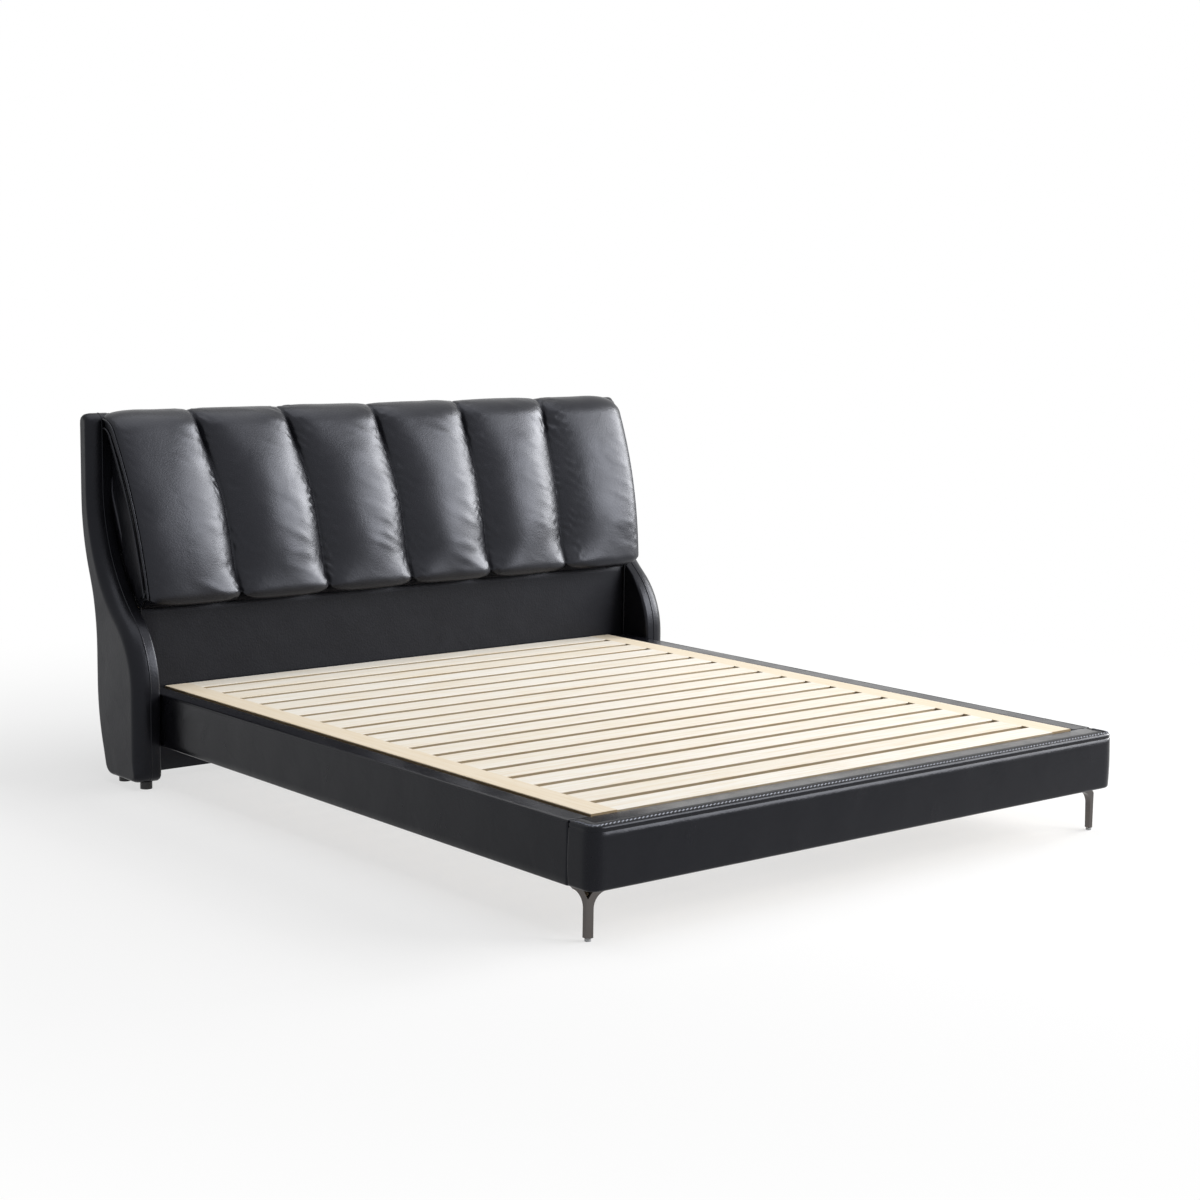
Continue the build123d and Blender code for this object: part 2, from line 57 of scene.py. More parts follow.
# Lowest roughness, strength of the grain and strength of the reflections of each leather
LEATHERS = {
    "pad cowhide": (0.30, 0.16, 0.36),
    "cover cowhide": (0.18, 0.14, 0.20),
    "wing cowhide": (0.28, 0.16, 0.22),
    "panel cowhide": (0.40, 0.26, 0.22),
}

# Stretches of the pad's front, as shares of the way from behind its roll down to its board's foot
SEAMS_SINK, SEAMS_RISE, SEAMS_END = (0.08, 0.26), (0.76, 0.90), (0.93, 0.99)
BELLY_STARTS, BELLY_ENDS, BELLY_SPAN = (0.14, 0.45), (0.74, 0.90), (0.12, 0.90)
LEAN_ENDS = (0.08, 0.55)
# Roundness and sharpness of the section across a channel at the pad's ends, on its roll and at its belly
END_SECTION, ROLL_SECTION, BELLY_SECTION = (0.4, 5), (0.15, 6), (0.77, 3)
# Share of the gathers kept at the pad's ends, slant of the gathers, and slant and stretch of the long folds
END_GATHERS, GATHER_SLANT, PULL_SLANT, PULL_STRETCH = 0.4, 0.9, 0.45, 0.16
# Sizes of the patches in which the gathers shift, the gathers fade and the stuffing is uneven
SHIFT_SIZE, FADE_SIZE, UNEVEN_SIZE = 0.08, 0.07, 0.15
# Rows at the pad's top and foot, and shares of a channel at its two ends, that aren't swollen
HELD_TOP, HELD_FOOT, HELD_END = 2, 6, 0.2
SWELL_FRAMES, SMOOTHING_ROUNDS = 15, 4
# How much shallower the wings' roundings get at the top and at the foot, between which heights in metres,
# and the most that they take of the wing's width in the side view
TOP_EASE, TOP_HEIGHTS = 0.32, (0.75, 0.95)
FOOT_EASE, FOOT_HEIGHTS = 0.4, (0.03, 0.10)
WIDTH_SHARE = 0.44
# Heights above the lower panel between which the wings' linings start and stop to run on behind the pad
LAP_STARTS, LAP_ENDS = (0.03, 0.07), (0.45, 0.51)
# How squarely the wings' outline faces forwards where its front is soft and where the linings run on
SOFT_FACING, LAP_FACING = (-0.2, 0.6), (0.2, 0.6)
# Distances of the linings' two faces from the wings
LINING_GAPS = (0.0012, 0.0019)
# Distances of the mesh's first rows from the joint between side rails and foot rail
FOLD_ROWS = (0.0008, 0.002, 0.004, 0.0065)
# Depths of the mesh's first rows below the lower panel's top edge
PANEL_ROWS = (0, 0.001, 0.0025, 0.004)
# Distances of the wings' flat rows from their inner and outer roundings
INNER_ROWS, OUTER_ROWS = (0.012, 0.008), (0.006, 0.010)
# Spacing of the mesh along the wings' outline and the foot rail
WING_PITCH, FOOT_PITCH = 0.012, 0.011
# Length and height of the slow waves in the leather of the lower panel, the side rails and the foot rail
PANEL_WAVES, RAIL_WAVES, FOOT_WAVES = (0.25, 0.0012), (0.13, 0.0011), (0.12, 0.001)
WHITE = (1, 1, 1, 1)

# Places read from the frame, in metres
panel_low, panel_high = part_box("lower_panel_cover")
wing_low, wing_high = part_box("wing_cover_right")
pad_low, pad_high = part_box("pad_channel_3")
end_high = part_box("pad_channel_6")[1]
rail_low, rail_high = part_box("rail_cover_right")
core_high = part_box("rail_core_right")[1]
foot_low, foot_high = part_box("foot_rail_cover")
board_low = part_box("pad_board")[0]
slat_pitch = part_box("slat_02")[0].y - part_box("slat_01")[0].y
channels = [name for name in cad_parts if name.startswith("pad_channel")]


def linear(code):
    """Linear colour of an sRGB hex value."""
    parts = [int(code[i : i + 2], 16) / 255 for i in (1, 3, 5)]
    return tuple(c / 12.92 if c <= 0.04045 else ((c + 0.055) / 1.055) ** 2.4 for c in parts)


def amount(name, description, default, **settings):
    """A number that a user can change."""
    return bpy.props.FloatProperty(name=name, description=description, default=default, **settings)


def length(name, description, default):
    """A size in metres that a user can change."""
    return amount(name, description, default, subtype="DISTANCE", unit="LENGTH")


def bearing(name, description, degrees):
    """An angle that a user can change, given in degrees."""
    return amount(name, description, radians(degrees), subtype="ANGLE")


def colour(name, description, code):
    """A colour that a user can change, given as an sRGB hex value."""
    return bpy.props.FloatVectorProperty(
        name=name, description=description, default=linear(code), subtype="COLOR", size=3, min=0, max=1
    )


class BedPadSizes(bpy.types.PropertyGroup):
    """Sizes of the channelled headboard pad"""

    roll_radius: length("Roll", "Radius of the roll over the top edge", 0.060)
    brow_radius: length("Brow", "Radius where the roll turns into the front", 0.090)
    brow_turn: bearing("Brow turn", "How far the brow turns down", 66)
    lip_rise: length("Lip rise", "Height of the rounding at the pad's bottom edge", 0.036)
    lip_run: length("Lip run", "Depth of that rounding", 0.016)
    seam_depth: length("Seam depth", "How far the seams lie behind the crowns", 0.054)
    top_depth: length("Top seam depth", "Depth of the seams on the roll", 0.007)
    lip_depth: length("Lip seam depth", "Depth of the seams at the bottom edge", 0.034)
    seam_lean: length("Seam lean", "How far the middle seams lean sideways over the roll", 0.046)
    belly_rise: length("Belly", "How far the stuffing swells the pad's middle height", 0.013)
    end_crown: amount("End crown", "Sideways place of the last channel's crown, in half widths", 0.25)
    end_depth: length("End rounding", "How far the pad's two ends round back", 0.028)
    pucker_height: length("Pucker", "Height of the gathers beside the seams", 0.0042)
    pucker_pitch: length("Pucker pitch", "Spacing of the gathers", 0.036)
    pucker_reach: length("Pucker reach", "How far the gathers run from a seam", 0.075)
    pucker_start: length("Pucker start", "Distance from a seam at which the gathers are full", 0.006)
    pull_height: length("Pulls", "Height of the long soft folds across a channel", 0.0035)
    pull_width: length("Pull width", "Width of those folds", 0.030)
    uneven_height: length("Unevenness", "Height of the slow waves in the stuffing", 0.003)
    row_pitch: length("Row pitch", "Spacing of the mesh along a channel", 0.009)
    columns: bpy.props.IntProperty(name="Columns", description="Mesh columns in a channel", default=32)
    swell_limit: length("Swell limit", "Furthest the leather may move when it is inflated", 0.012)
    welt_radius: length("Welt", "Radius of the welt round the pad's ends", 0.0032)
    back_drop: length("Back drop", "How far the leather is turned down behind the roll", 0.007)
    wing_gap: length("Wing gap", "Room between the pad and the wings' fronts", 0.004)
    end_flap: length("End flap", "How far the ends are pulled in behind the wings' fronts", 0.045)
    board_lap: length("Board lap", "How far the leather stands off the front of the pad's board", 0.0008)
    foot_lap: length("Foot lap", "How far the leather runs on below the board", 0.0056)
    end_lap: length("End lap", "How far the leather's lower ends stand out past the board", 0.0024)
    boxing_width: length("Boxing", "Width of the strip between the two welts at an end", 0.026)


class BedCoverSizes(bpy.types.PropertyGroup):
    """Sizes of the wings' and rails' leather covers"""

    breast_radius: length("Breast", "Radius of the wing's front bulge", 0.287)
    neck_radius: length("Neck", "Radius of the wing's hollow throat", 0.497)
    wing_stuffing: length("Wing stuffing", "How far the stuffing sets the wings' outer faces out", 0.016)
    shoulder_height: length("Shoulder", "Height at which the wing's straight front ends", 0.291)
    cap_radius: length("Cap", "Radius of the wing's top", 0.028)
    cap_lift: length("Cap lift", "How far the padding lifts the wing's top", 0.010)
    back_radius: length("Back", "Radius of the two curves of the wing's back", 0.640)
    back_step: length("Back step", "How far the back steps forward below the shoulder", 0.082)
    back_shoulder: length("Back shoulder", "Height at which the upper back starts to bend", 0.850)
    heel_radius: length("Heel curve", "Radius of the lowest stretch of the back", 0.650)
    heel_start: length("Heel start", "Height at which that stretch starts", 0.300)
    heel_corner: length("Heel corner", "Rounding of the lower rear corner", 0.045)
    toe_corner: length("Toe corner", "Rounding of the lower front corner", 0.026)
    wing_edge: length("Wing edge", "Rounding of the wing's outer rear edge over foam", 0.019)
    soft_depth: length("Front rounding", "Depth of the soft rounding of the wing's outer front", 0.032)
    soft_run: length("Front run", "How far that rounding runs across the wing", 0.046)
    wing_seam: length("Wing seam", "Distance of the welted seam from the wing's inner face", 0.034)
    inner_edge: length("Inner edge", "Rounding of the edges beside the pad", 0.0095)
    wing_welt: length("Wing welt", "Radius of the welt along the wing's edge", 0.0018)
    lining_lap: length("Lining lap", "How far the wing's lining runs on behind the pad", 0.016)
    rail_edge: length("Rail edge", "Rounding of the rails' top edges", 0.008)
    piping_radius: length("Piping", "Radius of the piping on the rails and the lower panel", 0.0026)
    foot_corner: length("Foot corner", "Radius of the foot rail's ends", 0.032)
    bead_radius: length("Bead", "Radius of the bead along the foot rail's top edge", 0.0095)
    end_fold: length("End fold", "Rounding where the rails meet the foot rail", 0.005)
    stitch_pitch: length("Stitch pitch", "Spacing of the saddle stitches", 0.0125)
    stitch_length: length("Stitch length", "How far one stitch runs along the edge", 0.0115)
    stitch_radius: length("Stitch radius", "Radius of the thread", 0.0014)


class BedFinishes(bpy.types.PropertyGroup):
    """Colours of leather, timber and metal"""

    leather: colour("Leather", "Dyed and finished hide", "#0B0B0E")
    leather_worn: colour("Leather high spots", "Where the finish is rubbed", "#131317")
    sheen: colour("Sheen", "Cool cast of the finish's reflections", "#EDF1FF")
    thread: colour("Thread", "Saddle-stitch thread", "#8E929E")
    pine: colour("Pine", "Early wood between the rings", "#ECE8E0")
    pine_stile: colour("Pine stiles", "Early wood of the two long stiles", "#E6DAC6")
    pine_ring: colour("Pine rings", "Late wood", "#DAC8A8")
    # Colour multiplied into the pine's side faces as painted shade, so they stand darker than the lit tops
    pine_side_shade: colour("Pine edges", "Sawn faces beside the planed top", "#AE9E82")
    plywood: colour("Plywood", "Birch veneer", "#C9A878")
    gunmetal: colour("Gunmetal", "Black-nickel plate", "#625E5C")
    zinc: colour("Zinc", "Bright zinc plate", "#B9BCBE")
    black_coat: colour("Black coat", "Powder coat", "#1A1A1B")
    plastic: colour("Plastic", "Black moulded feet", "#161617")
    nylon: colour("Nylon", "Milky glides", "#C4C6C8")
    lining: colour("Lining", "Black cloth on the headboard's back", "#141416")


class BedStage(bpy.types.PropertyGroup):
    """Camera, lamps and floor"""

    camera_place: bpy.props.FloatVectorProperty(
        name="Camera", description="Where the camera stands", default=(-4.196, -5.081, 1.543), unit="LENGTH"
    )
    camera_heading: bearing("Heading", "Turn of the view from +Y towards +X", 38.8)
    camera_dip: bearing("Dip", "How far the view looks down", 8.2)
    camera_roll: bearing("Roll", "Tilt of the horizon", 0.75)
    camera_shift: amount("Shift", "Sideways shift of the picture, in picture widths", 0.0333)
    lens: amount("Lens", "Focal length in millimetres", 68.3)
    floor: colour("Floor", "Seamless paper", "#F6F6F6")
    paper_glow: amount("Paper glow", "Share of plain white in the paper round the bed", 0.66)
    glow_start: length("Glow start", "Distance from the bed's middle at which it starts to grow", 1.5)
    glow_end: length("Glow end", "Distance at which the paper is plain white", 3.6)
    floor_reach: length("Floor reach", "Half the side of the paper", 14)
    world_light: amount("Room", "Strength of the even light", 0.10)
    side_lamp: amount("Side lamp", "Right-hand soft box, in watts", 1120)
    front_lamp: amount("Front lamp", "Soft box at the front right, in watts", 980)
    ceiling_lamp: amount("Ceiling lamp", "Soft box overhead, in watts", 95)


# Meshes


def skin(rings, solid=True):
    """Vertices and faces through rings of equal length; a solid is closed round them and at both ends."""
    count = len(rings[0])
    vertices = [point for ring in rings for point in ring]
    faces = []
    for i in range(len(rings) - 1):
        for j in range(count if solid else count - 1):
            k = (j + 1) % count
            faces.append((i * count + j, i * count + k, (i + 1) * count + k, (i + 1) * count + j))
    if solid:
        faces.append(tuple(reversed(range(count))))
        faces.append(tuple(range((len(rings) - 1) * count, len(rings) * count)))
    return vertices, faces


def add_object(name, data):
    """A new object in the scene."""
    thing = bpy.data.objects.new(name, data)
    bpy.context.scene.collection.objects.link(thing)
    return thing


def make_piece(name, form, material, sharp=radians(50)):
    """A smooth-shaded mesh of vertices and faces, turned outwards, that rides on the bed's frame."""
    mesh = bpy.data.meshes.new(name)
    vertices, faces = form
    mesh.from_pydata(vertices, [], faces)
    work = bmesh.new()
    work.from_mesh(mesh)
    bmesh.ops.recalc_face_normals(work, faces=work.faces)
    work.to_mesh(mesh)
    work.free()
    mesh.shade_smooth()
    mesh.set_sharp_from_angle(angle=sharp)
    mesh.materials.append(material)
    piece = add_object(name, mesh)
    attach(piece, BODY)
    return piece


def tube(points, radius, sides=8):
    """Vertices and faces of a round cord through points, closed at both ends."""
    turns = [2 * pi * k / sides for k in range(sides)]
    rings = []
    for i, point in enumerate(points):
        ahead = (points[min(i + 1, len(points) - 1)] - points[max(i - 1, 0)]).normalized()
        across = (across - ahead * across.dot(ahead) if i else ahead.orthogonal()).normalized()
        beside = ahead.cross(across)
        rings.append([point + radius * (cos(a) * across + sin(a) * beside) for a in turns])
    return skin(rings)


def merge(parts):
    """One list of vertices and faces from several."""
    vertices, faces = [], []
    for points, polygons in parts:
        start = len(vertices)
        vertices += points
        faces += [tuple(index + start for index in polygon) for polygon in polygons]
    return vertices, faces


def run_arc(points, heading, radius, turn, steps):
    """Runs a line on by an arc that leaves along a heading and turns; gives its last heading."""
    sign = copysign(1, turn)
    centre = points[-1] + radius * sign * Vector((-sin(heading), cos(heading)))
    for i in range(1, steps + 1):
        angle = heading + turn * i / steps
        points.append(centre + radius * sign * Vector((sin(angle), -cos(angle))))
    return heading + turn


def run_arc_to(points, heading, end, steps):
    """Runs a line on by an arc that leaves along a heading and reaches an end; gives its last heading."""
    chord = end - points[-1]
    half = (atan2(chord.y, chord.x) - heading + pi) % (2 * pi) - pi
    return run_arc(points, heading, chord.length / (2 * abs(sin(half))), 2 * half, steps)


def quarter(steps):
    """Angles of a quarter turn in equal steps."""
    return [pi / 2 * i / steps for i in range(steps + 1)]


def resample(points, pitch):
    """Points spaced evenly along a line of points, about a pitch apart."""
    lengths = [0.0]
    for a, b in zip(points, points[1:]):
        lengths.append(lengths[-1] + (b - a).length)
    steps = max(2, round(lengths[-1] / pitch))
    result, k = [], 0
    for i in range(steps + 1):
        goal = lengths[-1] * i / steps
        while k < len(points) - 2 and lengths[k + 1] < goal:
            k += 1
        span = lengths[k + 1] - lengths[k]
        result.append(points[k].lerp(points[k + 1], (goal - lengths[k]) / span if span else 0))
    return result


def part_way(low, high, value):
    """How far a value has come from low to high, between 0 and 1."""
    return min(max((value - low) / (high - low), 0), 1)


def smooth_step(low, high, value):
    """0 below low, 1 above high, and an easy curve between."""
    t = part_way(low, high, value)
    return t * t * (3 - 2 * t)


def tuck_at(distance, fold):
    """How far a rail's leather is drawn in at a distance from its end, round a fold of this radius."""
    return fold * (1 - sqrt(1 - max(0, 1 - distance / fold) ** 2))


def ripple(point, size, height=1):
    """Gentle unevenness of stuffed leather, in waves of a size and up to a height either way."""
    return height * noise.noise(point / size)


# Materials


def add_node(tree, kind, inputs=(), **settings):
    """Adds a shader node, sets its properties, links or sets its inputs, and gives its outputs."""
    node = tree.nodes.new("ShaderNode" + kind)
    for key, value in settings.items():
        setattr(node, key, value)
    for socket, value in dict(inputs).items():
        if isinstance(value, bpy.types.NodeSocket):
            tree.links.new(value, node.inputs[socket])
        else:
            node.inputs[socket].default_value = value
    return node.outputs


def new_material(name):
    """A node material, its tree, and the place on the piece in metres, which its patterns follow."""
    material = bpy.data.materials.new(name)
    material.use_nodes = True
    tree = material.node_tree
    tree.nodes.clear()
    return material, tree, add_node(tree, "TexCoord")["Object"]


def per_mm(size):
    """Texture scale at which one feature measures a size in millimetres."""
    return 1000 / size


def rgba(tone, share=1):
    """A colour, or a darker share of it, as a node takes it."""
    return (*[part * share for part in tone], 1)


def shown(tree):
    """1 for rays that show the backdrop, seen, mirrored or through glass, and 0 for rays that light."""
    rays = add_node(tree, "LightPath")
    seen = add_node(tree, "Math", {0: rays["Is Camera Ray"], 1: rays["Is Glossy Ray"]}, operation="ADD")
    return add_node(tree, "Math", {0: seen[0], 1: rays["Is Transmission Ray"]}, operation="ADD")[0]


def leather(kind):
    """Pigment-finished cowhide, made once for each kind: near black, with pebble grain and slow creases.

    The grain is drawn about three times its real size, because the true one is finer than a pixel.
    """
    if kind in bpy.data.materials:
        return bpy.data.materials[kind]
    gloss, grain, shine = LEATHERS[kind]
    finishes = bpy.context.scene.bed_finishes
    material, tree, place = new_material(kind)
    pebbles = add_node(tree, "TexVoronoi", {"Vector": place, "Scale": per_mm(5)}, feature="SMOOTH_F1")
    pores = add_node(tree, "TexNoise", {"Vector": place, "Scale": per_mm(9), "Detail": 4})
    creased = {"Vector": place, "Scale": per_mm(90), "Detail": 3, "Distortion": 0.6}
    creases = add_node(tree, "TexNoise", creased)["Fac"]
    tones = {0: pores["Fac"], 6: rgba(finishes.leather), 7: rgba(finishes.leather_worn)}
    tone = add_node(tree, "Mix", tones, data_type="RGBA")
    glosses = {"Value": creases, "From Min": 0.3, "From Max": 0.7, "To Min": gloss, "To Max": gloss + 0.1}
    sheen = add_node(tree, "MapRange", glosses)
    fold = add_node(tree, "Bump", {"Height": creases, "Strength": 0.25, "Distance": 0.004})
    pebbled = {"Height": pebbles["Distance"], "Strength": grain, "Distance": 0.0012, "Normal": fold[0]}
    shader = add_node(tree, "BsdfPrincipled", {
        "Base Color": tone[2],
        "Roughness": sheen[0],
        "Specular IOR Level": shine,
        "Specular Tint": rgba(finishes.sheen),
        "Normal": add_node(tree, "Bump", pebbled)[0],
    })
    add_node(tree, "OutputMaterial", {"Surface": shader[0]})
    return material


def timber_material(name, early, late, along, ring_mm=9, contrast=0.55, edge=0.0):
    """Planed softwood: pale early wood, darker rings drawn out along the grain, and a low sheen.

    Each board has its own cut of the grain and its own tone. An edge above 0 paints shade onto the faces
    that turn from facing up.
    """
    side_shade_tone = bpy.context.scene.bed_finishes.pine_side_shade
    material, tree, place = new_material(name)
    stretch = [1.0, 1.0, 1.0]
    stretch["XYZ".index(along)] = 0.045
    across = add_node(tree, "SeparateXYZ", {0: place})["Y" if along == "X" else "X"]
    board = add_node(tree, "Math", {0: across, 1: slat_pitch}, operation="SNAP")
    own = add_node(tree, "TexWhiteNoise", {"W": board[0]}, noise_dimensions="1D")
    shifted = add_node(tree, "VectorMath", {0: place, 1: own["Color"]}, operation="ADD")
    grain = add_node(tree, "Mapping", {"Vector": shifted[0], "Scale": stretch})[0]
    ringed = {"Vector": grain, "Scale": per_mm(ring_mm), "Detail": 2, "Distortion": 0.8}
    rings = add_node(tree, "TexNoise", ringed)["Fac"]
    fibres = add_node(tree, "TexNoise", {"Vector": grain, "Scale": per_mm(1.6), "Detail": 2})
    late_share = {"Value": rings, "From Min": 0.42, "From Max": 0.75, "To Max": contrast}
    late_wood = add_node(tree, "MapRange", late_share)
    share = add_node(tree, "Math", {0: own["Value"], 1: 0.22, 2: late_wood[0]}, operation="MULTIPLY_ADD")
    tones = {0: share[0], 6: rgba(early), 7: rgba(late)}
    tone = add_node(tree, "Mix", tones, data_type="RGBA", clamp_factor=True)
    # Painted shade: sawn holds how much of the side-shade colour is multiplied into faces that turn from
    # facing up, up to the edge share
    normal = add_node(tree, "NewGeometry")["True Normal"]
    facing = add_node(tree, "SeparateXYZ", {0: normal})["Z"]
    side_shade_share = {"Value": facing, "From Min": 0.2, "From Max": 0.8, "To Min": edge, "To Max": 0.0}
    sawn = add_node(tree, "MapRange", side_shade_share)
    tones = {0: sawn[0], 6: tone[2], 7: rgba(side_shade_tone)}
    worked = add_node(tree, "Mix", tones, data_type="RGBA", blend_type="MULTIPLY")
    texture = add_node(tree, "Bump", {"Height": fibres["Fac"], "Strength": 0.12, "Distance": 0.0006})
    shader = add_node(tree, "BsdfPrincipled", {
        "Base Color": worked[2],
        "Roughness": 0.6,
        "Specular IOR Level": 0.3,
        "Normal": texture[0],
    })
    add_node(tree, "OutputMaterial", {"Surface": shader[0]})
    return material


def metal_material(name, tone, roughness, grain_mm):
    """Plated metal: mirror-like base broken by fine casting or rolling marks."""
    material, tree, place = new_material(name)
    marks = add_node(tree, "TexNoise", {"Vector": place, "Scale": per_mm(grain_mm), "Detail": 5})["Fac"]
    shade = add_node(tree, "Mix", {0: marks, 6: rgba(tone), 7: rgba(tone, 0.8)}, data_type="RGBA")
    glosses = {"Value": marks, "To Min": roughness - 0.08, "To Max": roughness + 0.12}
    sheen = add_node(tree, "MapRange", glosses)
    dents = add_node(tree, "Bump", {"Height": marks, "Strength": 0.06, "Distance": 0.0005})
    shader = add_node(tree, "BsdfPrincipled", {
        "Base Color": shade[2],
        "Metallic": 1.0,
        "Roughness": sheen[0],
        "Normal": dents[0],
    })
    add_node(tree, "OutputMaterial", {"Surface": shader[0]})
    return material


def plain_material(name, tone, roughness, grain_mm, strength=0.1, transmission=0.0):
    """Moulded plastic, powder coat or cloth: one tone, broken by a fine texture."""
    material, tree, place = new_material(name)
    texture = add_node(tree, "TexNoise", {"Vector": place, "Scale": per_mm(grain_mm), "Detail": 3})["Fac"]
    shade = add_node(tree, "Mix", {0: texture, 6: rgba(tone), 7: rgba(tone, 0.75)}, data_type="RGBA")
    relief = add_node(tree, "Bump", {"Height": texture, "Strength": strength, "Distance": 0.0006})
    shader = add_node(tree, "BsdfPrincipled", {
        "Base Color": shade[2],
        "Roughness": roughness,
        "Transmission Weight": transmission,
        "Normal": relief[0],
    })
    add_node(tree, "OutputMaterial", {"Surface": shader[0]})
    return material


def dress(names, material):
    """Gives CAD nodes their finish."""
    for name in names:
        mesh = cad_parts[name].data
        mesh.materials.clear()
        mesh.materials.append(material)


# Outlines in the bed's side view; their first coordinate runs along the bed and the second is the height


def wing_outline(sizes):
    """A wing's side view: up its front from the shoulder, over the cap, down the back and along the foot.

    Gives the whole outline, and the stretch of it up to the top of the cap.
    """
    front, back, top, bottom = wing_low.y, wing_high.y, wing_high.z + sizes.cap_lift, wing_low.z
    step = back - 2 * sizes.cap_radius - front
    turn = acos(1 - step / (sizes.breast_radius + sizes.neck_radius))
    points = [Vector((front, sizes.shoulder_height))]
    heading = run_arc(points, pi / 2, sizes.breast_radius, -turn, 14)
    heading = run_arc(points, heading, sizes.neck_radius, turn, 18)
    points.append(Vector((points[-1].x, top - sizes.cap_radius)))
    heading = run_arc(points, heading, sizes.cap_radius, -pi / 2, 7)
    front_count = len(points)
    run_arc(points, heading, sizes.cap_radius, -pi / 2, 7)
    points.append(Vector((back, sizes.back_shoulder)))
    back_turn = acos(1 - sizes.back_step / (2 * sizes.back_radius))
    heading = run_arc(points, -pi / 2, sizes.back_radius, -back_turn, 10)
    run_arc(points, heading, sizes.back_radius, back_turn, 10)
    points.append(Vector((points[-1].x, sizes.heel_start)))
    rest = sizes.heel_start - bottom - sizes.heel_corner
    heel_turn = asin(rest / (sizes.heel_radius - sizes.heel_corner))
    heading = run_arc(points, -pi / 2, sizes.heel_radius, -heel_turn, 8)
    run_arc(points, heading, sizes.heel_corner, -pi - heading, 8)
    points.append(Vector((front + sizes.toe_corner, points[-1].y)))
    run_arc(points, pi, sizes.toe_corner, -pi / 2, 8)
    return points, points[:front_count]


def pad_outline(sizes):
    """The pad's side view, over the roll, down the belly and under the lip, and its flat back."""
    front = [Vector((pad_high.y, pad_high.z - sizes.roll_radius))]
    heading = run_arc(front, pi / 2, sizes.roll_radius, pi / 2, 12)
    heading = run_arc(front, heading, sizes.brow_radius, sizes.brow_turn, 12)
    heading = run_arc_to(front, heading, Vector((pad_low.y, pad_low.z + sizes.lip_rise)), 40)
    run_arc_to(front, heading, Vector((pad_low.y + sizes.lip_run, pad_low.z)), 12)
    foot = Vector((board_low.y - sizes.board_lap, board_low.z - sizes.foot_lap))
    head = Vector((front[0].x, front[0].y - sizes.back_drop))
    front.append(foot)
    board = [foot.lerp(head, i / 12) for i in range(1, 13)]
    return resample(front, sizes.row_pitch), board


def outward(points, i, closed):
    """Outward direction at a point of an outline that runs clockwise in the side view."""
    last = len(points) - 1
    before = points[i - 1] if i or closed else points[0]
    after = points[(i + 1) % len(points)] if closed or i < last else points[last]
    along = (after - before).normalized()
    return Vector((-along.y, along.x))


# Operators


